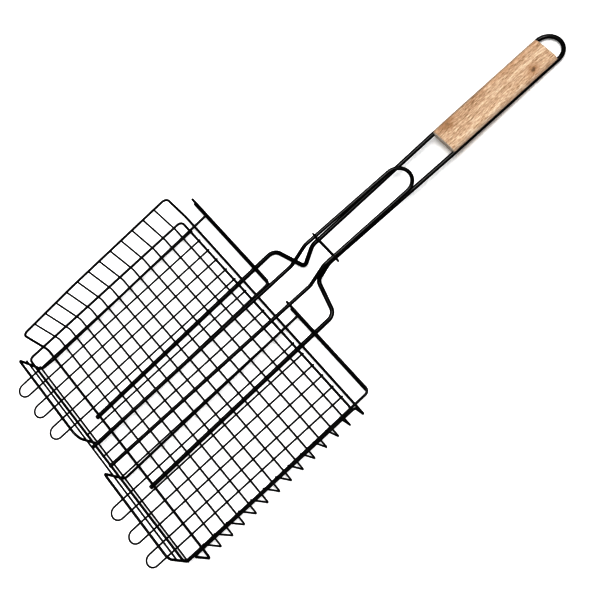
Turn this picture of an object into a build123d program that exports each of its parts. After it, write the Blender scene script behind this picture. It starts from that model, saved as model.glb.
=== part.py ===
"""Hinged wire grill basket with a long wooden-gripped handle.

Frame: millimetres, +Z up, X across the basket, +Y rearwards along the handle
towards the grip.  Origin on the resting plane, below the middle of the floor.

The basket is a shallow tray of U-bent cross wires on a saddle-shaped frame,
with two bent wire loops that stiffen the floor and form the front wall.  The
lid is a flat grid whose finger loops reach out through the slot of the front
wall; it swings up about that slot.  Both handles run side by side towards the
grip and a closed wire ring slides along them to lock the lid.
"""
from build123d import *
from math import atan, cos, radians, sin, sqrt, tan
import os

os.makedirs("parts", exist_ok=True)

LEFT, RIGHT = -1, 1                              # sides of the basket, as signs of X
ACROSS, REARWARD, UP = (1, 0, 0), (0, 1, 0), (0, 0, 1)

# ------------------------------------------------------------ wire sizes
grid_r = 1.8 / 2                                 # thin grid wire
frame_r = 2.5 / 2                                # basket frame, lid frame, rear bars
loop_r = 2.6 / 2                                 # front loops
long_r = 4.5 / 2                                 # long handle
lid_handle_r = 3.9 / 2
ring_r = 1.6 / 2                                 # lock ring
gap = 0.02                                       # left open at every welded contact

# ------------------------------------------------------------ levels
# the long handle lies lowest and rests on Z = 0; the frame wires lie on it and
# their tops are level with the tops of the thin cross wires
z_frame = 2 * long_r + gap + frame_r             # frame wires across the floor
z_floor = z_frame + frame_r - grid_r             # thin cross wires
z_loop = z_frame + frame_r + gap + loop_r        # loops lie on the floor wires
wall_height = 48.0                               # rim above the floor
z_rim = z_floor + wall_height


# ------------------------------------------------------------ wire helpers
def heading(start, end):
    """Unit vector from start to end."""
    return (Vector(*end) - Vector(*start)).normalized()


def draw_bent(points, bends):
    """Draw straight runs joined by tangent arcs into the open BuildLine.

    points are the corners, bends the centreline bend radius at each of them;
    the first and last bend are ignored."""
    corners = [Vector(*point) for point in points]
    run_start = corners[0]
    for before, corner, after, bend in zip(corners, corners[1:], corners[2:], bends[1:]):
        back = (before - corner).normalized()
        ahead = (after - corner).normalized()
        half_angle = radians(back.get_angle(ahead)) / 2
        setback = bend / tan(half_angle)
        centre = corner + (back + ahead).normalized() * (bend / sin(half_angle))
        middle = centre + (corner - centre).normalized() * bend
        entry = corner + back * setback
        leave = corner + ahead * setback
        Line(run_start, entry)
        ThreePointArc(entry, middle, leave)
        run_start = leave
    Line(run_start, corners[-1])


def save(part, name):
    part.label = name
    export_step(part, f"parts/{name}.step")


def make_wire(name, radius, section_x, *runs):
    """One wire swept along each (points, bends) run; the runs are fused."""
    with BuildPart() as wire:
        for points, bends in runs:
            with BuildLine() as path:
                draw_bent(points, bends)
            with BuildSketch(Plane(origin=points[0], x_dir=section_x,
                                   z_dir=heading(points[0], points[1]))):
                Circle(radius)
            sweep(path=path.wires()[0])
    save(wire.part, name)


def make_hairpin(name, radius, section_x, first_leg, tip, second_leg, bends):
    """Two legs, each listed towards the tip, joined by a round bow through it."""
    with BuildPart() as hairpin:
        with BuildLine() as path:
            draw_bent(first_leg, bends)
            ThreePointArc(first_leg[-1], tip, second_leg[-1])
            draw_bent(second_leg[::-1], bends[::-1])
        with BuildSketch(Plane(origin=first_leg[0], x_dir=section_x,
                               z_dir=heading(first_leg[0], first_leg[1]))):
            Circle(radius)
        sweep(path=path.wires()[0])
    save(hairpin.part, name)


def make_straight(name, radius, section_x, start, end):
    """A straight round bar from start to end."""
    with BuildPart() as bar:
        with BuildSketch(Plane(origin=start, x_dir=section_x, z_dir=heading(start, end))):
            Circle(radius)
        extrude(amount=(Vector(*end) - Vector(*start)).length)
    save(bar.part, name)


# ------------------------------------------------------------ basket frame
# across the floor, up the side, along the rim and back, in two fused halves
frame_half_width = 152.8                         # at the floor
# the rims seen from above, front to rear: (y, distance out from the middle);
# the left one bows out a little between its ends
rims = {LEFT: [(-105.4, 157.45), (-32.0, 159.4), (105.9, 158.85)],
        RIGHT: [(-104.3, 157.35), (105.2, 158.9)]}
frame_bends = {LEFT: [0, 5, 5.5, 300, 6.5, 5, 0],
               RIGHT: [0, 5, 7, 5.5, 5, 0]}


def frame_half(side):
    """Corners of one half, from the middle of the front to the middle of the rear."""
    rim = rims[side]
    front_middle_y = (rims[LEFT][0][0] + rims[RIGHT][0][0]) / 2
    rear_middle_y = (rims[LEFT][-1][0] + rims[RIGHT][-1][0]) / 2
    return [(0, front_middle_y, z_frame),
            (side * frame_half_width, rim[0][0], z_frame),
            *[(side * out, y, z_rim) for y, out in rim],
            (side * frame_half_width, rim[-1][0], z_frame),
            (0, rear_middle_y, z_frame)]


make_wire("basket_frame", frame_r, UP,
          *[(frame_half(side), frame_bends[side]) for side in (RIGHT, LEFT)])

# ------------------------------------------------------------ cross wires
# each one is a U: across the floor and up inside both rims
pitch = 16.0                                     # spacing along Y
cross_bend = 2.6
cross_half_width = {LEFT: 152.16, RIGHT: 151.92}  # at the floor corners
rim_overrun = 3.0                                # cut ends above the rim
slant_factor = 1.007                             # widens the rim gap for slanting wires
rim_gap = (frame_r + grid_r + gap) * slant_factor
# on the right most wires lean forward: how far, from floor to rim, front wire first
right_leans = (1.3, 2.6, 2.7, 2.8, 2.8, 2.7, 2.6, 2.4, 2.2, 2.0, 1.5, 0.0)


def rim_out(side, y):
    """How far out the rim lies at y."""
    rim = rims[side]
    for (y_a, out_a), (y_b, out_b) in zip(rim, rim[1:]):
        if y <= y_b:
            return out_a + (out_b - out_a) * (y - y_a) / (y_b - y_a)


def cross_end(side, y, lean):
    """Cut end of the cross wire at y, on the line from floor corner past the rim."""
    beyond = (wall_height + rim_overrun) / wall_height
    foot = cross_half_width[side]
    out = foot + (rim_out(side, y - lean) - rim_gap - foot) * beyond
    return (side * out, y - lean * beyond, z_rim + rim_overrun)


for k, right_lean in enumerate(right_leans):
    y = (k - (len(right_leans) - 1) / 2) * pitch
    corners = [cross_end(LEFT, y, 0.0),
               (-cross_half_width[LEFT], y, z_floor),
               (cross_half_width[RIGHT], y, z_floor),
               cross_end(RIGHT, y, right_lean)]
    make_wire(f"cross_wire_{k + 1:02d}", grid_r, REARWARD,
              (corners, [0, cross_bend, cross_bend, 0]))

# ------------------------------------------------------------ front loops
y_foot = -123.52                                 # foot of the front wall
y_top = -126.4                                   # top of the front wall
z_top = z_floor + 44.8
y_loop_bar = 124.48                              # the loops' own rear bars
foot_bend = 4.0
left_kink_y = -107.5                             # here the outer left leg turns out
left_foot_x = -138.6                             # to its foot, and leans out on
left_top_x = -139.8                              # up to the corner of the wall


def loop_points(stub_x, low_x, high_x):
    """Rear bar from its free stub, forward, up the wall, across, down and back.

    The last leg butts against the rear bar."""
    return [(stub_x, y_loop_bar, z_loop), (high_x, y_loop_bar, z_loop),
            (high_x, y_foot, z_loop), (high_x, y_top, z_top),
            (low_x, y_top, z_top), (low_x, y_foot, z_loop),
            (low_x, y_loop_bar - loop_r - gap, z_loop)]


left_loop = loop_points(stub_x=-164.32, low_x=-137.12, high_x=-24.0)
left_loop[4:6] = [(left_top_x, y_top, z_top), (left_foot_x, y_foot, z_loop),
                  (left_loop[-1][0], left_kink_y, z_loop)]
right_loop = loop_points(stub_x=5.92, low_x=26.56, high_x=140.0)
make_wire("front_loop_left", loop_r, REARWARD,
          (left_loop, [0, 5, foot_bend, 11, 3.5, foot_bend, 15, 0]))
make_wire("front_loop_right", loop_r, REARWARD,
          (right_loop, [0, 5, foot_bend, 7, 3.5, foot_bend, 0]))

# ------------------------------------------------------------ rear bars
# straight bars under the rear ends of the loops, lying on the long handle
y_rear_bar = 122.88
for name, start_x, end_x in (("rear_bar_left", -159.52, -22.72),
                             ("rear_bar_right", 14.4, 136.0)):
    make_straight(name, frame_r, REARWARD,
                  (start_x, y_rear_bar, z_frame), (end_x, y_rear_bar, z_frame))

# ------------------------------------------------------------ front wires
# the lower one lies in the outer corner of the loops' foot bend, the upper one
# is welded inside the wall; the slot between them takes the lid's finger loops
wall_lean = (y_foot - y_top) / (z_top - z_loop)  # forward per unit of height
wall_turn = radians(90) - atan(wall_lean)        # angle of the foot bend
foot_centre_y = y_foot + foot_bend * tan(wall_turn / 2)
foot_centre_z = z_loop + foot_bend
lower_reach = foot_bend + loop_r + grid_r + gap
lower_angle = radians(37)                        # how far round the bend it sits
lower_y = foot_centre_y - lower_reach * sin(lower_angle)
lower_z = foot_centre_z - lower_reach * cos(lower_angle)

upper_z = z_floor + 32.8
wall_y = y_foot - wall_lean * (upper_z - z_loop)
upper_y = wall_y + (loop_r + grid_r + gap) * sqrt(1 + wall_lean ** 2)

for name, start_x, end_x, y, z in (
        ("front_wire_lower", -143.2, 140.7, lower_y, lower_z),
        ("front_wire_upper", -140.6, 140.7, upper_y, upper_z)):
    make_straight(name, grid_r, REARWARD, (start_x, y, z), (end_x, y, z))

# ------------------------------------------------------------ long handle
# one wire: forward ends under the floor, shoulders, neck, two legs along the
# grip and the hanging loop behind it
grip_leg_x = 16.16                               # legs beside the grip
y_leg = 184.0                                    # the straight slope starts here
z_leg = z_floor + 16.48
y_spread = 352.0                                 # the legs run parallel from here
y_hanging_loop = 502.08                          # centre of the hanging loop
z_hanging_loop = 5.2
long_slope = (z_hanging_loop - z_leg) / (y_hanging_loop - y_leg)
long_stretch = sqrt(1 + long_slope ** 2)         # length along the slope per unit of Y
long_direction = (0, 1 / long_stretch, long_slope / long_stretch)
long_bends = [0, 11, 6, 9, 60, 0]


def z_long(y):
    """Height of the sloping part of the long handle at y."""
    return z_leg + long_slope * (y - y_leg)


def long_leg(side):
    return [(side * 51.2, -109.12, long_r),              # forward end
            (side * 51.2, 151.52, long_r),               # shoulder
            (side * 11.04, 163.52, long_r + 1.8),        # neck
            (side * 13.92, y_leg, z_leg),
            (side * grip_leg_x, y_spread, z_long(y_spread)),
            (side * grip_leg_x, y_hanging_loop, z_hanging_loop)]


long_tip = (0, y_hanging_loop + grip_leg_x / long_stretch,
            z_hanging_loop + long_slope * grip_leg_x / long_stretch)
make_hairpin("long_handle", long_r, ACROSS,
             long_leg(LEFT), long_tip, long_leg(RIGHT), long_bends)

# ------------------------------------------------------------ wooden grip
# a flat oval bar between the legs, each leg sunk in a groove of its side
grip_front_y, grip_rear_y = 355.36, 500.48
grip_width = 34.4
grip_above = 7.8                                 # wood above the handle wire's centre
grip_below = 5.0                                 # wood below it
grip_corner = 6.0
grip_chamfer = 1.2
groove_overrun = 5                               # groove cutter past each end

grip_length = (grip_rear_y - grip_front_y) * long_stretch
# the section's own +Y points down, so the deeper side is at negative Y
grip_plane = Plane(origin=(0, grip_front_y, z_long(grip_front_y)), x_dir=ACROSS,
                   z_dir=long_direction)
with BuildPart() as wooden_grip:
    with BuildSketch(grip_plane):
        with Locations((0, -(grip_above - grip_below) / 2)):
            RectangleRounded(grip_width, grip_above + grip_below, grip_corner)
    extrude(amount=grip_length)
    ends = wooden_grip.faces().sort_by(Axis.Y)
    chamfer(ends[0].edges() + ends[-1].edges(), grip_chamfer)
    with BuildSketch(grip_plane.offset(-groove_overrun)):
        with Locations((grip_leg_x, 0), (-grip_leg_x, 0)):
            Circle(long_r + gap)
    extrude(amount=grip_length + 2 * groove_overrun, mode=Mode.SUBTRACT)
save(wooden_grip.part, "wooden_grip")

# ------------------------------------------------------------ lid layout
# the lid is laid out in its own tilted plane, its rear lower than its front
lid_tilt = atan(0.0375)
y_hinge = -122.56
z_hinge = z_floor + 20.64
lid_side_x = {LEFT: -145.6, RIGHT: 146.0}        # sides of the lid frame
lid_front_v = {LEFT: 0.16, RIGHT: 1.12}          # its front corners, from the hinge
lid_rear_v = {LEFT: 222.16, RIGHT: 223.04}       # its rear corners
rear_overrun = 0.5                               # grid wires past the frame's rear
front_overrun = 0.3                              # single wires past the frame's front


def lid_point(x, v, w):
    """Lid coordinates: x across, v rearwards in the lid plane, w above it."""
    return (x, y_hinge + v * cos(lid_tilt) + w * sin(lid_tilt),
            z_hinge - v * sin(lid_tilt) + w * cos(lid_tilt))


def along_side(corner_v, x):
    """The v at x on the frame side between the given left and right corners."""
    share = (x - lid_side_x[LEFT]) / (lid_side_x[RIGHT] - lid_side_x[LEFT])
    return corner_v[LEFT] + (corner_v[RIGHT] - corner_v[LEFT]) * share


def wire_end_v(x):
    """Where the lid wire at x ends, just past the rear of the lid frame."""
    return along_side(lid_rear_v, x) + frame_r + rear_overrun


# ------------------------------------------------------------ lid frame
frame_w = grid_r + frame_r + gap                 # the frame lies on the thin wires
front_middle_v = along_side(lid_front_v, 0)
lid_corners = [lid_point(0, front_middle_v, frame_w),
               lid_point(lid_side_x[RIGHT], lid_front_v[RIGHT], frame_w),
               lid_point(lid_side_x[RIGHT], lid_rear_v[RIGHT], frame_w),
               lid_point(lid_side_x[LEFT], lid_rear_v[LEFT], frame_w),
               lid_point(lid_side_x[LEFT], lid_front_v[LEFT], frame_w),
               lid_point(0, front_middle_v, frame_w)]
make_wire("lid_frame", frame_r, UP, (lid_corners, [0, 5, 5, 5.5, 4.5, 0]))

# ------------------------------------------------------------ finger loops
# hairpins: two lid wires joined by a round bow in front of the wall
finger_tip_v = {LEFT: -31.2, RIGHT: -29.92}
# (side, inner leg, outer leg), the legs as distances from the middle
finger_legs = [(LEFT, 113.92, 129.04), (LEFT, 82.4, 97.6), (LEFT, 50.24, 65.76),
               (RIGHT, 113.92, 128.48), (RIGHT, 82.4, 97.6), (RIGHT, 50.24, 65.76)]


def finger_leg(x, bow_v):
    return [lid_point(x, wire_end_v(x), 0), lid_point(x, bow_v, 0)]


for number, (side, inner, outer) in enumerate(finger_legs, start=1):
    bow_radius = (outer - inner) / 2
    bow_v = finger_tip_v[side] + bow_radius
    tip = lid_point(side * (inner + outer) / 2, finger_tip_v[side], 0)
    make_hairpin(f"finger_loop_{number}", grid_r, ACROSS,
                 finger_leg(side * inner, bow_v), tip,
                 finger_leg(side * outer, bow_v), [0, 0])

# ------------------------------------------------------------ single lid wires
for name, x in (("left", -31.2), ("centre", 0.0), ("right", 31.2)):
    make_straight(f"lid_wire_{name}", grid_r, ACROSS,
                  lid_point(x, front_middle_v - frame_r - front_overrun, 0),
                  lid_point(x, wire_end_v(x), 0))

# ------------------------------------------------------------ lid handle
# two legs lying on the lid frame, rising behind it and joined at the rear
handle_w = frame_w + frame_r + gap + lid_handle_r
# welded a little to the right: x and v of the front ends, x below the rise
handle_front_x = {LEFT: -13.536, RIGHT: 15.952}
handle_front_v = {LEFT: -1.9, RIGHT: 0.3}
handle_low_x = {LEFT: -13.6, RIGHT: 17.792}
y_rise = 153.6                                   # the rise starts here
rise_v = (y_rise - y_hinge) / cos(lid_tilt)
rise_top_x = 15.76
y_rise_top = 178.4
z_rise_top = z_floor + 24.8
handle_end_x = 15.392                            # radius of the rear bow
y_handle_end = 292.8
z_handle_end = z_floor + 16.24
handle_slope = (z_handle_end - z_rise_top) / (y_handle_end - y_rise_top)
handle_stretch = sqrt(1 + handle_slope ** 2)


def lid_handle_leg(side):
    return [lid_point(handle_front_x[side], handle_front_v[side], handle_w),
            lid_point(handle_low_x[side], rise_v, handle_w),
            (side * rise_top_x, y_rise_top, z_rise_top),
            (side * handle_end_x, y_handle_end, z_handle_end)]


lid_handle_tip = (0, y_handle_end + handle_end_x / handle_stretch,
                  z_handle_end + handle_slope * handle_end_x / handle_stretch)
make_hairpin("lid_handle", lid_handle_r, UP, lid_handle_leg(LEFT), lid_handle_tip,
             lid_handle_leg(RIGHT), [0, 12, 12, 0])

# ------------------------------------------------------------ lock ring
# closed wire ring round all four legs, square to the long handle
y_ring = 192.16
ring_half_width = 19.36
ring_bend = 3.0
ring_clear = 0.06                                # between the ring and the legs
ring_headroom = 0.1                              # more above the lid handle
# height of the lid handle above the long handle, square to the latter
lid_handle_up = (z_rise_top + handle_slope * (y_ring - y_rise_top)
                 - z_long(y_ring)) / long_stretch
ring_low = -(long_r + ring_r + ring_clear)
ring_high = lid_handle_up + lid_handle_r + ring_r + ring_clear + ring_headroom


def ring_point(x, up):
    """x across, up from the long handle's centreline and square to it."""
    return (x, y_ring - up * long_slope / long_stretch, z_long(y_ring) + up / long_stretch)


ring_corners = [ring_point(0, ring_low),
                ring_point(ring_half_width, ring_low),
                ring_point(ring_half_width, ring_high),
                ring_point(-ring_half_width, ring_high),
                ring_point(-ring_half_width, ring_low),
                ring_point(0, ring_low)]
make_wire("lock_ring", ring_r, REARWARD, (ring_corners, [0] + [ring_bend] * 4 + [0]))
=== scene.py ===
"""A black-coated wire basket with a hinged lid, a lock ring and a wooden grip.

The basket lies flat on the floor, Z up and X across (left is -X). Its front and the lid
hinge are at -Y; the handles run towards +Y, where the grip sits. Product sizes are in
millimetres; materials, the stage, the lights and the camera are in metres.
"""

import math
from functools import reduce
from itertools import combinations

import bmesh
import bpy
import numpy as np
from mathutils import Matrix, Vector, noise

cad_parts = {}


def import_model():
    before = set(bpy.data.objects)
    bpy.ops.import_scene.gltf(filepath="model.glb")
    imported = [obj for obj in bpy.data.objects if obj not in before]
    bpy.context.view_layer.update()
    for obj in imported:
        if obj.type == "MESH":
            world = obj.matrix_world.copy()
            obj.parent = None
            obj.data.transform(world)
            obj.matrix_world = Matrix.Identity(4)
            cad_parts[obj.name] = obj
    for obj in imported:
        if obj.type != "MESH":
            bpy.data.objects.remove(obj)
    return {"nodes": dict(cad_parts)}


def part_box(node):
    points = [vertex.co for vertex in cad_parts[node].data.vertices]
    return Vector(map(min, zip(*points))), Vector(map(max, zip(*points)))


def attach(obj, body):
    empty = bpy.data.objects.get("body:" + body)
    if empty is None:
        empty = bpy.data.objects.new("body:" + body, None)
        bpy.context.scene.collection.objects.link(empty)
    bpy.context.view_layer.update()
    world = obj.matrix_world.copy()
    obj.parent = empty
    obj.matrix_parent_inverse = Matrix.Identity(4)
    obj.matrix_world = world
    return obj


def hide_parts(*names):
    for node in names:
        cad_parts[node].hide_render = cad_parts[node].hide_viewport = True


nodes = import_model()["nodes"]
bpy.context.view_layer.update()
scene = bpy.context.scene

MM = 0.001
PITCH = 16.0        # spacing unit of the basket grid

# Wire radii, and the clearance between touching wires
GRID_R, FRAME_R, LOOP_R, LONG_R, LID_HANDLE_R = 0.9, 1.25, 1.3, 2.25, 1.95
GAP = 0.02

# Heights of the wire axes: the long handle lies on the floor, the rest stack on it
Z_FRAME = 2 * LONG_R + GAP + FRAME_R
Z_GRID = Z_FRAME + FRAME_R - GRID_R
Z_LOOP = Z_FRAME + FRAME_R + GAP + LOOP_R
RIM_RISE = 3.0 * PITCH
Z_RIM = Z_GRID + RIM_RISE


# ---------------------------------------------------------------- node helpers
class Graph:
    """The emptied node tree of a material or world, with helpers that add nodes."""

    def __init__(self, owner):
        self.owner = owner
        owner.use_nodes = True
        self.tree = owner.node_tree
        self.tree.nodes.clear()

    def put(self, socket, value):
        """Link a socket to the input, or set the input to a plain value."""
        if isinstance(value, bpy.types.NodeSocket):
            self.tree.links.new(value, socket)
        else:
            socket.default_value = value

    def node(self, kind, inputs=None, **settings):
        node = self.tree.nodes.new("ShaderNode" + kind)
        for key, value in settings.items():
            setattr(node, key, value)
        for key, value in (inputs or {}).items():
            self.put(node.inputs[key], value)
        return node

    def mix_shader(self, factor, first, second):
        return self.node("MixShader", {0: factor, 1: first, 2: second}).outputs[0]


class Material(Graph):
    """A material's graph, with a Principled shader on its output."""

    def __init__(self, name):
        super().__init__(bpy.data.materials.new(name))
        self.output = self.node("OutputMaterial")
        self.surface = self.node("BsdfPrincipled")
        self.put(self.output.inputs[0], self.surface.outputs[0])

    def set(self, **inputs):
        for key, value in inputs.items():
            self.put(self.surface.inputs[key.replace("_", " ")], value)

    def coord(self, kind="Object"):
        return self.node("TexCoord").outputs[kind]

    def mapping(self, vector, scale=(1, 1, 1), offset=(0, 0, 0)):
        inputs = {0: vector, "Location": offset, "Scale": scale}
        return self.node("Mapping", inputs).outputs[0]

    def noise(self, vector, scale=1.0, detail=2.0, rough=0.5):
        inputs = {"Vector": vector, "Scale": scale, "Detail": detail, "Roughness": rough}
        return self.node("TexNoise", inputs).outputs["Fac"]

    def grain(self, vector, across, along, offset=(0, 0, 0), detail=2.0, rough=0.5):
        """Noise with one scale along Y and another across it."""
        stretched = self.mapping(vector, (across, along, across), offset)
        return self.noise(stretched, detail=detail, rough=rough)

    def math(self, operation, a, b=0.0):
        return self.node("Math", {0: a, 1: b, 2: 0.0}, operation=operation).outputs[0]

    def add(self, *terms):
        return reduce(lambda a, b: self.math("ADD", a, b), terms)

    def sub(self, *terms):
        return reduce(lambda a, b: self.math("SUBTRACT", a, b), terms)

    def mul(self, *terms):
        return reduce(lambda a, b: self.math("MULTIPLY", a, b), terms)

    def swing(self, value, gain):
        """Noise centred on zero, times a gain."""
        return self.mul(self.sub(value, 0.5), gain)

    def length(self, a, b):
        return self.math("SQRT", self.add(self.mul(a, a), self.mul(b, b)))

    def ramp(self, value, span, to=(0.0, 1.0)):
        """Smooth step of the value over the span, from to[0] to to[1]."""
        inputs = {"Value": value, "From Min": span[0], "From Max": span[1],
                  "To Min": to[0], "To Max": to[1]}
        step = self.node("MapRange", inputs, interpolation_type="SMOOTHSTEP", clamp=True)
        return step.outputs[0]

    def colours(self, value, stops):
        """Colour ramp; each stop is (position, RGB)."""
        node = self.node("ValToRGB", {0: value})
        elements = node.color_ramp.elements
        while len(elements) < len(stops):
            elements.new(0.5)
        for element, (position, rgb) in zip(elements, stops):
            element.position = position
            element.color = (*rgb, 1.0)
        return node.outputs[0]

    def mix(self, factor, first, second):
        """Mix two colours, each a socket or an RGB tuple."""
        inputs = {"Factor": factor}
        for key, colour in ((6, first), (7, second)):
            inputs[key] = (*colour, 1.0) if isinstance(colour, tuple) else colour
        return self.node("Mix", inputs, data_type="RGBA").outputs[2]

    def tint(self, colour, mask, amount, shade):
        return self.mix(self.mul(mask, amount), colour, shade)

    def split(self, vector):
        return self.node("SeparateXYZ", {0: vector}).outputs[:3]

    def bump(self, height, strength, distance):
        inputs = {"Strength": strength, "Distance": distance, "Height": height}
        return self.node("Bump", inputs).outputs[0]


# ---------------------------------------------------------------- wire coating
def wire_coat(name, offset, scale=1.0, rough=(0.27, 0.42), chip_level=0.735, specular=0.36):
    """Satin black baked coating: orange peel, patches of uneven thickness, light
    rubbing, and a few pin-head chips down to grey steel (fewer at a higher level)."""
    mat = Material(name)
    place = mat.mapping(mat.coord(), offset=offset)
    patches = mat.noise(place, scale=38 * scale, detail=3.0, rough=0.6)
    cloud = mat.noise(place, scale=210 * scale, detail=3.0, rough=0.55)
    peel = mat.noise(place, scale=1300 * scale, detail=2.0, rough=0.5)
    grit = mat.noise(place, scale=3600 * scale, detail=1.0, rough=0.5)
    spots = mat.noise(place, scale=520 * scale, detail=2.5, rough=0.6)
    rub = mat.ramp(mat.mul(cloud, patches), span=(0.30, 0.42))
    chip = mat.ramp(spots, span=(chip_level, chip_level + 0.018))

    black, charcoal = (0.0150, 0.0150, 0.0156), (0.0300, 0.0294, 0.0288)
    colour = mat.mix(mat.ramp(patches, span=(0.35, 0.68)), black, charcoal)
    colour = mat.tint(colour, rub, amount=0.55, shade=(0.070, 0.067, 0.064))
    colour = mat.mix(chip, colour, (0.230, 0.220, 0.210))
    # rubbed and chipped places are rougher
    roughness = mat.add(mat.ramp(cloud, span=(0.3, 0.7), to=rough),
                        mat.mul(rub, 0.10), mat.mul(chip, 0.12))
    # peel and grit stand up, chips are sunk
    height = mat.sub(mat.add(mat.mul(peel, 0.75), mat.mul(grit, 0.25)), mat.mul(chip, 0.8))
    mat.set(Base_Color=colour, Roughness=roughness, Metallic=mat.mul(chip, 0.7),
            Normal=mat.bump(height, strength=0.35, distance=0.00012),
            Specular_IOR_Level=specular)
    return mat.owner


COATS = {
    "thin": wire_coat("coat_thin_wire", (0.0, 0.0, 0.0)),
    "frame": wire_coat("coat_frame_wire", (0.31, 0.12, 0.07)),
    "loop": wire_coat("coat_loop_wire", (0.11, 0.52, 0.23), scale=0.9, rough=(0.24, 0.38),
                      specular=0.45),
    "heavy": wire_coat("coat_handle_wire", (0.71, 0.22, 0.41), scale=0.8, rough=(0.16, 0.26),
                       specular=0.62),
    "lid": wire_coat("coat_lid_wire", (0.17, 0.83, 0.61)),
    "ring": wire_coat("coat_lock_ring", (0.45, 0.35, 0.95), scale=1.1, rough=(0.24, 0.38),
                      chip_level=0.70, specular=0.45),
}
WELD_COAT = wire_coat("coat_weld_bead", (0.91, 0.47, 0.33), scale=1.6, rough=(0.34, 0.52),
                      chip_level=0.76)


def coat_kind(name):
    if name.startswith(("cross_wire", "front_wire")):
        return "thin"
    if name.startswith("front_loop"):
        return "loop"
    if name in ("long_handle", "lid_handle"):
        return "heavy"
    if name.startswith(("finger_loop", "lid_wire")):
        return "lid"
    return "ring" if name == "lock_ring" else "frame"


for name, obj in nodes.items():
    if name != "wooden_grip":
        obj.data.materials.clear()
        obj.data.materials.append(COATS[coat_kind(name)])


# ---------------------------------------------------------------- wire runs
# A run is (start, end, radius, wire name); runs of one wire aren't welded together.
# An end is (point, outward direction, radius), where a wire is cut.
def box_mm(name):
    lo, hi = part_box(name)
    return np.array(lo) / MM, np.array(hi) / MM


# Plan of the rim on each side (-1 left, 1 right): (y, distance from the centre line)
RIM = {-1: [(-105.4, 157.45), (-32.0, 159.4), (105.9, 158.85)],
       1: [(-104.3, 157.35), (105.2, 158.9)]}
CROSS_COUNT = 12
CROSS_FOOT = {-1: 9.51 * PITCH, 1: 9.495 * PITCH}   # floor bends, from the centre line
CROSS_RISE = 51.0                                   # height of the wire tips
SLANT = 1.007                                       # widens rim clearance for the slope
FRAME_HALF = 148                                    # straight part of the front and rear
LONG_X = 3.2 * PITCH
LONG_Y = (-6.82 * PITCH, 8.7 * PITCH)
LEG_X = (-8.57 * PITCH, -1.50 * PITCH, 1.66 * PITCH, 8.75 * PITCH)
OUTER_LEFT_X = (-138.6, -139.8)                     # foot and top of the first upright
LEG_FRONT_Y = -107.5
Y_FOOT, Y_TOP = -7.72 * PITCH, -7.90 * PITCH        # loop uprights lean forward
Z_LOOP_TOP = Z_GRID + 2.8 * PITCH
BAR_Y = 7.78 * PITCH
BAR_START = {"L": -10.27 * PITCH, "R": 0.37 * PITCH}
BOXED_BARS = (("rear_bar_left", FRAME_R), ("rear_bar_right", FRAME_R),
              ("front_wire_lower", GRID_R), ("front_wire_upper", GRID_R))


def rim_x(side, y):
    """Distance of the rim from the centre line; its last stretch runs on past the end."""
    line = RIM[side]
    for (y0, x0), (y1, x1) in zip(line, line[1:]):
        if y <= y1 or y1 == line[-1][0]:
            return x0 + (x1 - x0) * (y - y0) / (y1 - y0)


def cross_wire(number, runs, ends):
    """A floor wire turned up at both ends to pass inside the rim."""
    lo, hi = box_mm(f"cross_wire_{number:02d}")
    label = f"cross{number}"
    y, y_lean = hi[1] - GRID_R, lo[1] + GRID_R
    runs.append(((-CROSS_FOOT[-1], y, Z_GRID), (CROSS_FOOT[1], y, Z_GRID), GRID_R, label))
    past_rim = CROSS_RISE / RIM_RISE
    for side in (-1, 1):
        x_foot = CROSS_FOOT[side]
        y_tip = y if side < 0 else y_lean
        x_at_rim = rim_x(side, y + (y_tip - y) / past_rim) - (FRAME_R + GRID_R + GAP) * SLANT
        x_tip = x_foot + (x_at_rim - x_foot) * past_rim
        foot = (side * x_foot, y, Z_GRID)
        tip = (side * x_tip, y_tip, Z_GRID + CROSS_RISE)
        runs.append((foot, tip, GRID_R, label))
        ends.append((tip, np.array(tip) - np.array(foot), GRID_R))


def basket_wires():
    runs, ends = [], []
    for number in range(1, CROSS_COUNT + 1):
        cross_wire(number, runs, ends)
    # lower frame: front, then rear, level with the rim's ends
    for end in (0, -1):
        left, right = ((side * FRAME_HALF, RIM[side][end][0], Z_FRAME) for side in (-1, 1))
        runs.append((left, right, FRAME_R, "frame"))
    for side in (-1, 1):
        for (y0, x0), (y1, x1) in zip(RIM[side], RIM[side][1:]):
            runs.append(((side * x0, y0, Z_RIM), (side * x1, y1, Z_RIM), FRAME_R, "frame"))
        front, rear = ((side * LONG_X, y, LONG_R) for y in LONG_Y)
        runs.append((front, rear, LONG_R, "long"))
        ends.append((front, (0, -1, 0), LONG_R))
    # the two front loops: legs under the floor wires, uprights at the front
    for i, x in enumerate(LEG_X):
        label = "loopL" if i < 2 else "loopR"
        x_foot, x_top = OUTER_LEFT_X if i == 0 else (x, x)
        runs.append(((x, LEG_FRONT_Y, Z_LOOP), (x, BAR_Y, Z_LOOP), LOOP_R, label))
        runs.append(((x_foot, Y_FOOT, Z_LOOP), (x_top, Y_TOP, Z_LOOP_TOP), LOOP_R, label))
    # their rear crossbars
    for side, x_end in (("L", LEG_X[1]), ("R", LEG_X[3])):
        start = (BAR_START[side], BAR_Y, Z_LOOP)
        runs.append((start, (x_end, BAR_Y, Z_LOOP), LOOP_R, f"bar{side}"))
        ends.append((start, (-1, 0, 0), LOOP_R))
    for name, radius in BOXED_BARS:
        lo, hi = box_mm(name)
        y, z = (lo[1] + hi[1]) / 2, (lo[2] + hi[2]) / 2
        left, right = (lo[0], y, z), (hi[0], y, z)
        runs.append((left, right, radius, name))
        ends += [(left, (-1, 0, 0), radius), (right, (1, 0, 0), radius)]
    return runs, ends


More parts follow.
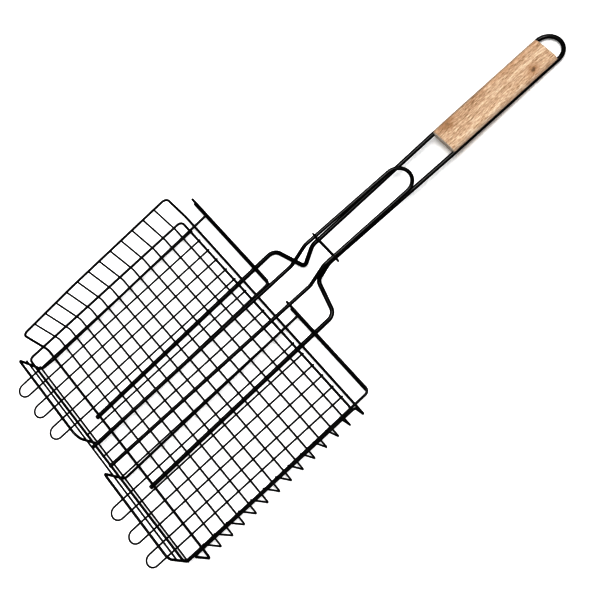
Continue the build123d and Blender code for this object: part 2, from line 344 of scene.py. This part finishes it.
# Lid frame: v runs back from the hinge and down at TILT, w is square to the lid
TILT = math.atan(0.0375)
Y_HINGE, Z_HINGE = -7.66 * PITCH, Z_GRID + 1.29 * PITCH
FINGER_COUNT = 6
FINGER_FRONT_V = -1.0 * PITCH
LID_FRAME_W = GRID_R + FRAME_R + GAP
LID_CORNER = 6
LID_FRAME_V = ((0.012 * PITCH, 0.068 * PITCH),      # front: left and right end
               (13.885 * PITCH, 13.938 * PITCH))    # rear
LID_HANDLE_W = LID_FRAME_W + FRAME_R + GAP + LID_HANDLE_R
LID_HANDLE_REAR_Y = 9.6 * PITCH
# side, front x from the centre line, front v, rear x
LID_HANDLE_LEGS = ((-1, 0.846 * PITCH, -1.9, 0.850 * PITCH),
                   (1, 0.997 * PITCH, 0.3, 1.112 * PITCH))


def lid_point(x, v, w):
    return (x, Y_HINGE + v * math.cos(TILT) + w * math.sin(TILT),
            Z_HINGE - v * math.sin(TILT) + w * math.cos(TILT))


def lid_v(y):
    return (y - Y_HINGE) / math.cos(TILT)


def lid_wires():
    runs, ends = [], []
    backward = np.array(lid_point(0, 1, 0)) - np.array(lid_point(0, 0, 0))
    for number in range(1, FINGER_COUNT + 1):
        lo, hi = box_mm(f"finger_loop_{number}")
        for x in (lo[0] + GRID_R, hi[0] - GRID_R):
            rear = lid_point(x, lid_v(hi[1]), 0)
            runs.append((lid_point(x, FINGER_FRONT_V, 0), rear, GRID_R, f"finger{number}"))
            ends.append((rear, backward, GRID_R))
    for side in ("left", "centre", "right"):
        lo, hi = box_mm(f"lid_wire_{side}")
        front, rear = (lid_point((lo[0] + hi[0]) / 2, lid_v(y), 0) for y in (lo[1], hi[1]))
        runs.append((front, rear, GRID_R, f"single{side}"))
        ends += [(front, -backward, GRID_R), (rear, backward, GRID_R)]
    lo, hi = box_mm("lid_frame")
    x_left, x_right = lo[0] + FRAME_R + LID_CORNER, hi[0] - FRAME_R - LID_CORNER
    for v_left, v_right in LID_FRAME_V:
        runs.append((lid_point(x_left, v_left, LID_FRAME_W),
                     lid_point(x_right, v_right, LID_FRAME_W), FRAME_R, "lidframe"))
    for side, x_front, v_front, x_rear in LID_HANDLE_LEGS:
        front = lid_point(side * x_front, v_front, LID_HANDLE_W)
        rear = lid_point(side * x_rear, lid_v(LID_HANDLE_REAR_Y), LID_HANDLE_W)
        runs.append((front, rear, LID_HANDLE_R, f"lidhandle{side}"))
        ends.append((front, np.array(front) - np.array(rear), LID_HANDLE_R))
    return runs, ends


# ---------------------------------------------------------------- welds
WELD_GAP = (-0.5, 0.9)      # surface gaps that get a bead
PARALLEL = 0.9              # cosine above which two runs count as parallel
BEAD_SPREAD, BEAD_DEPTH = 1.12, 0.62    # times the smaller wire radius
CAP_RADIUS, CAP_DEPTH = 0.985, 0.42     # times the wire radius
RING_BEAD_X = 6.0
RING_BEAD_RADII = (0.75, 0.93, 0.93)


def mesh_object(name, verts, faces):
    mesh = bpy.data.meshes.new(name)
    mesh.from_pydata(verts, [], faces)
    mesh.update()
    obj = bpy.data.objects.new(name, mesh)
    scene.collection.objects.link(obj)
    return obj


def unit_ball():
    ball = bmesh.new()
    bmesh.ops.create_icosphere(ball, subdivisions=3, radius=1.0)
    points = np.array([v.co[:] for v in ball.verts])
    faces = [[v.index for v in f.verts] for f in ball.faces]
    ball.free()
    return points, faces


BALL, BALL_FACES = unit_ball()


class Beads:
    """Closed, slightly lumpy beads gathered into one mesh."""

    def __init__(self):
        self.verts, self.faces = [], []

    def add(self, centre, axes, radii, seed, rough=0.07):
        base = len(self.verts)
        shift = Vector((seed * 3.1, seed * 1.7, 0.4))
        for unit in BALL:
            swell = 1.0 + rough * noise.noise(Vector(unit * 1.7) + shift)
            point = centre
            for axis, radius, part in zip(axes, radii, unit):
                point = point + axis * (radius * part * swell)
            self.verts.append(tuple(point * MM))
        self.faces += [[base + i for i in face] for face in BALL_FACES]

    def build(self, name, body):
        obj = mesh_object(name, self.verts, self.faces)
        for poly in obj.data.polygons:
            poly.use_smooth = True
        obj.data.materials.append(WELD_COAT)
        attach(obj, body)


def closest(a0, a1, b0, b1):
    """Closest points of the segments a0-a1 and b0-b1."""
    a0, a1, b0, b1 = (np.array(p, float) for p in (a0, a1, b0, b1))
    along_a, along_b, apart = a1 - a0, b1 - b0, a0 - b0
    aa, ab, bb = along_a @ along_a, along_a @ along_b, along_b @ along_b
    a_apart, b_apart = along_a @ apart, along_b @ apart
    det = aa * bb - ab * ab
    s = 0.5 if det < 1e-9 * aa * bb else np.clip((ab * b_apart - bb * a_apart) / det, 0, 1)
    t = np.clip((ab * s + b_apart) / bb, 0, 1)
    s = np.clip((ab * t - a_apart) / aa, 0, 1)
    return a0 + along_a * s, b0 + along_b * t


def axes_about(normal, hint):
    """Square axes: the hint flattened onto the plane, its perpendicular, the normal."""
    normal = normal / np.linalg.norm(normal)
    hint = hint - normal * (hint @ normal)
    hint = hint / np.linalg.norm(hint)
    return hint, np.cross(normal, hint), normal


def direction(start, end):
    along = np.array(end, float) - start
    return along / np.linalg.norm(along)


def weld(name, wires, body):
    """A bead wherever two wires cross and touch, and a rounded cap on each cut end."""
    runs, ends = wires
    beads, seed = Beads(), 0
    for (a0, a1, radius_a, name_a), (b0, b1, radius_b, name_b) in combinations(runs, 2):
        if name_a == name_b:
            continue
        on_a, on_b = closest(a0, a1, b0, b1)
        distance = np.linalg.norm(on_b - on_a)
        gap = distance - radius_a - radius_b
        if gap > WELD_GAP[1] or gap < WELD_GAP[0]:
            continue
        along_a, along_b = direction(a0, a1), direction(b0, b1)
        if abs(along_a @ along_b) > PARALLEL:
            continue
        normal = (on_b - on_a) / distance
        small = min(radius_a, radius_b)
        seed += 1
        vary = 1.0 + 0.12 * noise.noise(Vector((seed * 0.37, 1.3, 5.1)))
        spread = small * BEAD_SPREAD * vary
        beads.add(on_a + normal * (radius_a + gap / 2), axes_about(normal, along_a + along_b),
                  (spread, spread, gap / 2 + small * BEAD_DEPTH), seed)
    for point, outward, radius in ends:
        axes = axes_about(np.array(outward, float), np.array((0.3, 0.5, 0.81)))
        radii = (radius * CAP_RADIUS, radius * CAP_RADIUS, radius * CAP_DEPTH)
        beads.add(np.array(point, float), axes, radii, seed=0, rough=0.0)
    beads.build(name, body)


def weld_ring():
    """The lock ring's own butt weld, on its lower run."""
    bottom = box_mm("lock_ring")[0][2]
    points = np.array([v.co[:] for v in nodes["lock_ring"].data.vertices]) / MM
    # the vertices nearest the centre line on the lower run give its centre
    half_width = np.abs(points[points[:, 2] < bottom + 0.8][:, 0]).min() + 0.01
    near = points[np.abs(points[:, 0]) < half_width]
    low = near[near[:, 2] < bottom + 1.9]
    y, z = ((low[:, k].min() + low[:, k].max()) / 2 for k in (1, 2))
    beads = Beads()
    beads.add(np.array((RING_BEAD_X, y, z)), np.eye(3), RING_BEAD_RADII, seed=7, rough=0.05)
    beads.build("weld_bead_ring", "ring")


weld("weld_beads_basket", basket_wires(), "basket")
weld("weld_beads_lid", lid_wires(), "lid")
weld_ring()

# ---------------------------------------------------------------- wooden grip
# The long handle's legs slope from LEG_Y[0], LEG_Z[0] to LEG_Y[1], LEG_Z[1]
LEG_Y = (11.5 * PITCH, 31.38 * PITCH)
LEG_Z = (Z_GRID + 1.03 * PITCH, 5.2)
SLOPE = (LEG_Z[1] - LEG_Z[0]) / (LEG_Y[1] - LEG_Y[0])
STRETCH = math.sqrt(1 + SLOPE ** 2)     # length along the slope per length in Y
GRIP_Y = (22.21 * PITCH, 31.28 * PITCH)
GRIP_LEN = (GRIP_Y[1] - GRIP_Y[0]) * STRETCH
GRIP_Z = LEG_Z[0] + SLOPE * (GRIP_Y[0] - LEG_Y[0])
# Section, measured from the plane of the legs' axes
HALF_W, TOP, BOTTOM, EDGE_R = 17.2, 7.8, -5.0, 6.0
GROOVE_X, GROOVE_R = 1.01 * PITCH, LONG_R + GAP
GROOVE_STEPS = 18
END_R, END_STEPS = 2.0, 6               # rounding of the end edges
LENGTH_STEPS = 64


def rounded_outline():
    """The section before grooving, clockwise from its top left."""
    points = []

    def arc(x, y, start, end, steps):
        for i in range(steps):
            angle = math.radians(start + (end - start) * i / steps)
            points.append((x + EDGE_R * math.cos(angle), y + EDGE_R * math.sin(angle)))

    def line(x0, y0, x1, y1, steps):
        for i in range(steps):
            points.append((x0 + (x1 - x0) * i / steps, y0 + (y1 - y0) * i / steps))

    flat, high, low = HALF_W - EDGE_R, TOP - EDGE_R, BOTTOM + EDGE_R
    line(-flat, TOP, flat, TOP, 26)
    arc(flat, high, 90, 0, 18)
    line(HALF_W, high, HALF_W, low, 2)
    arc(flat, low, 0, -90, 40)
    line(flat, BOTTOM, -flat, BOTTOM, 26)
    arc(-flat, low, -90, -180, 40)
    line(-HALF_W, low, -HALF_W, high, 2)
    arc(-flat, high, 180, 90, 18)
    return points


def grooved_outline():
    """Section points (x, z), and a flag for those in the grooves round the wires."""
    points = rounded_outline()
    count = len(points)
    inside = [min(math.dist(p, (GROOVE_X, 0)), math.dist(p, (-GROOVE_X, 0))) < GROOVE_R
              for p in points]
    outline, in_groove = [], []
    for i, point in enumerate(points):
        if inside[i]:
            continue
        outline.append(point)
        in_groove.append(False)
        after = (i + 1) % count
        if not inside[after]:
            continue
        while inside[after]:
            after = (after + 1) % count
        side = 1 if point[0] > 0 else -1
        start, end = (math.atan2(z, x * side - GROOVE_X) for x, z in (point, points[after]))
        if side > 0:
            end += 2 * math.pi if end < start else 0
        else:
            start += 2 * math.pi if start < end else 0
        for k in range(1, GROOVE_STEPS):
            angle = start + (end - start) * k / GROOVE_STEPS
            outline.append((side * (GROOVE_X + GROOVE_R * math.cos(angle)),
                            GROOVE_R * math.sin(angle)))
            in_groove.append(True)
    return np.array(outline), np.array(in_groove)


def build_grip():
    outline, in_groove = grooved_outline()
    count = len(outline)
    tangent = np.roll(outline, -1, 0) - np.roll(outline, 1, 0)
    tangent /= np.linalg.norm(tangent, axis=1)[:, None]
    inward = np.stack([tangent[:, 1], -tangent[:, 0]], 1)

    # rows are (distance along the bar, inset of the outline)
    angles = [math.radians(90 * i / END_STEPS) for i in range(END_STEPS + 1)]
    rounding = [(END_R * (1 - math.sin(a)), END_R * (1 - math.cos(a))) for a in angles]
    middle = np.linspace(END_R, GRIP_LEN - END_R, LENGTH_STEPS)[1:-1]
    rows = rounding[::-1] + [(y, 0.0) for y in middle]
    rows += [(GRIP_LEN - y, inset) for y, inset in rounding]

    verts = []
    for y, inset in rows:
        depth = inset * np.where(in_groove, 0.2, 1.0)
        for (x, z), grooved in zip(outline + inward * depth[:, None], in_groove):
            if not grooved:
                # hand-sanded unevenness, broad and fine
                wave = 0.10 * noise.noise(Vector((x * 0.09, y * 0.035, z * 0.12 + 4.0)))
                wave += 0.035 * noise.noise(Vector((x * 0.5, y * 0.12, z * 0.5 + 9.0)))
                x, z = x * (1 + wave * 0.010), z + wave
            verts.append((x * MM, y * MM, z * MM))
    faces = []
    for i in range(len(rows) - 1):
        for j in range(count):
            k = (j + 1) % count
            faces.append((i * count + j, i * count + k,
                          (i + 1) * count + k, (i + 1) * count + j))
    faces.append(tuple(range(count - 1, -1, -1)))
    faces.append(tuple((len(rows) - 1) * count + j for j in range(count)))

    obj = mesh_object("grip_wood_bar", verts, faces)
    work = bmesh.new()
    work.from_mesh(obj.data)
    bmesh.ops.recalc_face_normals(work, faces=work.faces)
    work.to_mesh(obj.data)
    work.free()
    for poly in obj.data.polygons:
        poly.use_smooth = len(poly.vertices) == 4
    obj.matrix_world = Matrix((
        (1, 0, 0, 0),
        (0, 1 / STRETCH, -SLOPE / STRETCH, GRIP_Y[0] * MM),
        (0, SLOPE / STRETCH, 1 / STRETCH, GRIP_Z * MM),
        (0, 0, 0, 1)))
    return obj


def knot_distance(mat, place, x, y, centre, size):
    """Distance from a knot, in its own half sizes, made uneven by noise."""
    from_x, from_y = (mat.math("DIVIDE", mat.sub(value, middle), half)
                      for value, middle, half in zip((x, y), centre, size))
    uneven = mat.grain(place, across=260, along=260, offset=(centre[0] * 90, 0.2, 0.1),
                       detail=3.0, rough=0.6)
    return mat.add(mat.length(from_x, from_y), mat.swing(uneven, 1.5))


def wood_material():
    """Light close-grained wood, lengthwise figure along the object's Y."""
    mat = Material("grip_light_wood")
    place = mat.coord()
    x, y, z = mat.split(place)

    # two small knots in the top: one near the rear end, one near the basket end
    rear_knot = knot_distance(mat, place, x, y, centre=(0.0095, 0.1186), size=(0.0040, 0.0054))
    near_knot = knot_distance(mat, place, x, y, centre=(-0.0102, 0.0158), size=(0.0054, 0.0080))
    top = mat.ramp(z, span=(0.002, 0.006))

    def knot_mask(distance, span):
        return mat.mul(mat.ramp(distance, span, to=(1.0, 0.0)), top)

    rear_halo = knot_mask(rear_knot, span=(0.25, 2.3))
    near_halo = knot_mask(near_knot, span=(0.2, 1.9))
    rear_core = knot_mask(rear_knot, span=(0.05, 0.75))
    near_core = knot_mask(near_knot, span=(0.0, 0.42))

    # the grain bends round the knots and drifts along the bar
    bend = mat.add(mat.mul(rear_halo, 0.0022), mat.mul(near_halo, 0.0026))
    slow = mat.swing(mat.grain(place, across=26, along=7), 0.010)
    quick = mat.swing(mat.grain(place, across=60, along=16, offset=(0.4140, 0.7582, 0.3099)),
                      0.0035)
    grain_x = mat.add(mat.add(x, slow), mat.add(quick, bend))

    # growth rings, 620 a metre, about a line below the bar and left of its middle
    radius = mat.length(mat.add(grain_x, 0.006), mat.add(z, 0.021))
    ring = mat.math("FRACT", mat.mul(radius, 620.0))
    late = mat.mul(mat.ramp(ring, span=(0.55, 0.97)),
                   mat.ramp(ring, span=(0.97, 1.0), to=(1.0, 0.0)))

    warped = mat.node("CombineXYZ", {0: grain_x, 1: y, 2: z}).outputs[0]
    fibre = mat.grain(warped, across=1350, along=60, detail=3.0, rough=0.65)
    streak = mat.grain(warped, across=760, along=85, offset=(0.5084, 0.1889, 0.6792),
                       detail=3.0, rough=0.6)
    broad = mat.grain(warped, across=95, along=9, offset=(0.9073, 0.4140, 0.3099))
    fleck = mat.grain(warped, across=1250, along=210, offset=(0.3099, 0.8341, 0.1889),
                      rough=0.6)
    pore = mat.ramp(mat.grain(warped, across=2600, along=170,
                              offset=(0.6792, 0.3099, 0.9073), detail=1.0), span=(0.64, 0.74))

    # tone, dark to light; late wood is darker, and painted shade darkens the top towards the bar's
    # left edge
    tone = mat.add(mat.swing(fibre, 1.10), mat.swing(streak, 1.45),
                   mat.swing(broad, 0.55), mat.swing(fleck, 1.75))
    left_edge_shade = mat.ramp(grain_x, span=(-0.0165, 0.0005), to=(0.20, 0.0))
    tone = mat.add(mat.sub(tone, mat.mul(late, 0.13), left_edge_shade), 0.60)
    colour = mat.colours(tone, [
        (0.00, (0.4499, 0.3046, 0.2034)),
        (0.26, (0.5953, 0.4262, 0.2988)),
        (0.50, (0.7172, 0.5507, 0.4133)),
        (0.70, (0.7932, 0.6480, 0.5117)),
        (1.00, (0.8741, 0.7748, 0.6480)),
    ])
    left_red = mat.mul(mat.ramp(grain_x, span=(-0.016, -0.006), to=(0.42, 0.0)),
                       mat.ramp(broad, span=(0.35, 0.6)))
    colour = mat.mix(left_red, colour, (0.7369, 0.4887, 0.3227))
    for mask, amount, shade in (
            (pore, 0.38, (0.4449, 0.3089, 0.2034)),
            (near_halo, 0.70, (0.5262, 0.3424, 0.2117)),
            (rear_halo, 0.62, (0.5352, 0.3318, 0.1991)),
            (rear_core, 0.85, (0.2635, 0.1772, 0.1130)),
            (near_core, 0.55, (0.3552, 0.2467, 0.1576))):
        colour = mat.tint(colour, mask, amount, shade)

    # end faces: paler and greyer, with rings seen square on and pores as dots
    facing_y = mat.split(mat.coord("Normal"))[1]
    end = mat.ramp(mat.math("ABSOLUTE", facing_y), span=(0.55, 0.85))
    dots = mat.grain(place, across=1700, along=60, rough=0.6)
    end_tone = mat.sub(mat.ramp(dots, span=(0.3, 0.75), to=(0.25, 0.9)), mat.mul(late, 0.30))
    end_colour = mat.colours(end_tone, [
        (0.0, (0.5937, 0.5186, 0.4565)),
        (0.5, (0.8586, 0.7686, 0.6842)),
        (1.0, (0.9300, 0.9300, 0.8538)),
    ])
    colour = mat.mix(end, colour, end_colour)

    # painted shade and grey reflection on the rounded long sides, broken up by noise: right, then
    # left
    side_shade_noise = mat.grain(place, across=120, along=30, offset=(0.1889, 0.5084, 0.8341),
                      detail=3.0, rough=0.6)
    for span, to, least, amount, shade in (
            ((0.0135, 0.0170), (0.0, 1.0), 0.45, 0.45, (0.5953, 0.5026, 0.4294)),
            ((-0.0160, -0.0128), (1.0, 0.0), 0.55, 0.72, (0.5026, 0.4398, 0.3853))):
        side_shade = mat.mul(mat.ramp(x, span, to), mat.ramp(side_shade_noise, span=(0.3, 0.65), to=(least, 1.0)))
        colour = mat.tint(colour, side_shade, amount, shade)

    roughness = mat.add(mat.ramp(streak, span=(0.3, 0.7), to=(0.62, 0.48)), mat.mul(end, 0.2))
    # fibres and streaks stand up; pores, late wood and the rear knot are sunk
    height = mat.sub(mat.add(mat.mul(fibre, 0.6), mat.mul(streak, 0.5)),
                     mat.mul(pore, 0.5), mat.mul(late, 0.10), mat.mul(rear_core, 0.35))
    mat.set(Base_Color=colour, Roughness=roughness,
            Normal=mat.bump(height, strength=0.35, distance=0.00022),
            Specular_IOR_Level=0.32)
    return mat.owner


grip = build_grip()
grip.data.materials.append(wood_material())
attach(grip, "basket")
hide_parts("wooden_grip")

# ---------------------------------------------------------------- stage
FLOOR_HALF, FLOOR_Z = 30.0, -0.0002


def floor_material():
    """Pale floor that glows to the camera and looks dark in reflections."""
    mat = Material("floor_pale")
    cloud = mat.noise(mat.coord(), scale=1.7)
    x, y, _ = mat.split(mat.coord())
    # glow falls towards the rear and rises again away from the product
    glow = mat.add(mat.ramp(y, span=(0.22, 0.37), to=(0.55, 0.26)),
                   mat.ramp(mat.length(x, y), span=(0.70, 2.6), to=(0.0, 0.62)))
    rays = mat.node("LightPath").outputs
    mat.set(Base_Color=mat.mix(cloud, (0.885, 0.887, 0.89), (0.905, 0.905, 0.905)),
            Roughness=0.85, Specular_IOR_Level=0.1, Emission_Color=(1, 1, 1, 1),
            Emission_Strength=mat.mul(rays["Is Camera Ray"], glow))
    dark = mat.node("BsdfDiffuse", {0: (0.10, 0.10, 0.10, 1)}).outputs[0]
    shown = mat.mix_shader(rays["Is Glossy Ray"], mat.surface.outputs[0], dark)
    mat.put(mat.output.inputs[0], shown)
    return mat.owner


corners = [(sx * FLOOR_HALF, sy * FLOOR_HALF, 0) for sx, sy in ((-1, -1), (1, -1), (1, 1), (-1, 1))]
floor = mesh_object("floor", corners, [(0, 1, 2, 3)])
floor.location = (0, 0, FLOOR_Z)
floor.data.materials.append(floor_material())


def softbox(name, place, target, size, watts, colour=(1, 1, 1)):
    light = bpy.data.lights.new(name, "AREA")
    light.shape = "RECTANGLE"
    light.size, light.size_y = size
    light.energy = watts
    light.color = colour
    obj = bpy.data.objects.new(name, light)
    obj.location = place
    obj.rotation_mode = "QUATERNION"
    obj.rotation_quaternion = (Vector(target) - Vector(place)).to_track_quat("-Z", "Y")
    scene.collection.objects.link(obj)


softbox("key_light", place=(0.45, 0.75, 2.1), target=(0.0, 0.15, 0.0), size=(1.0, 1.0),
        watts=27.0, colour=(1.0, 0.995, 0.985))
softbox("top_light", place=(-0.1, 0.2, 2.8), target=(0.0, 0.15, 0.0), size=(2.6, 2.6),
        watts=36.0)
softbox("fill_light", place=(1.5, -1.3, 1.3), target=(0.0, 0.1, 0.0), size=(1.6, 1.2),
        watts=4.0, colour=(0.985, 0.99, 1.0))


def studio_world():
    """White to the camera, dim as a light, dimmer still in reflections."""
    scene.world = bpy.data.worlds.new("studio")
    graph = Graph(scene.world)
    output = graph.node("OutputWorld")
    rays = graph.node("LightPath").outputs
    dim, seen, reflected = (
        graph.node("Background", {0: colour, 1: strength}).outputs[0]
        for colour, strength in (((0.94, 0.95, 0.96, 1), 0.28),
                                 ((1, 1, 1, 1), 1.0),
                                 ((0.94, 0.95, 0.96, 1), 0.10)))
    direct = graph.mix_shader(rays["Is Camera Ray"], dim, seen)
    graph.put(output.inputs[0], graph.mix_shader(rays["Is Glossy Ray"], direct, reflected))


def view_tone():
    """Standard view with a curve that deepens the darks."""
    view = scene.view_settings
    view.view_transform = "Standard"
    view.look = "None"
    view.exposure = 0.0
    view.gamma = 1.0
    view.use_curve_mapping = True
    curves = view.curve_mapping
    points = curves.curves[3].points
    points[0].location = (0.0, 0.0)
    points[1].location = (1.0, 1.0)
    for level in (0.03, 0.08, 0.16, 0.28, 0.42, 0.58, 0.76):
        points.new(level, level ** 1.9)
    curves.black_level = (0.0, 0.0, 0.0)
    curves.white_level = (1.0, 1.0, 1.0)
    curves.update()


def place_camera():
    """Camera above the right side, looking down and to the left."""
    lens = bpy.data.cameras.new("camera")
    lens.sensor_width = 36.0
    lens.sensor_fit = "HORIZONTAL"
    lens.lens = 70.47096
    lens.clip_start, lens.clip_end = 0.05, 100.0
    camera = bpy.data.objects.new("camera", lens)
    scene.collection.objects.link(camera)
    camera.matrix_world = Matrix((
        (0.6154077, -0.6626504, 0.4268112, 0.5356447),
        (0.7272263, 0.6861924, 0.0167872, 0.1563234),
        (-0.3039986, 0.3000573, 0.9041850, 1.1106969),
        (0, 0, 0, 1)))
    scene.camera = camera


studio_world()
view_tone()
place_camera()
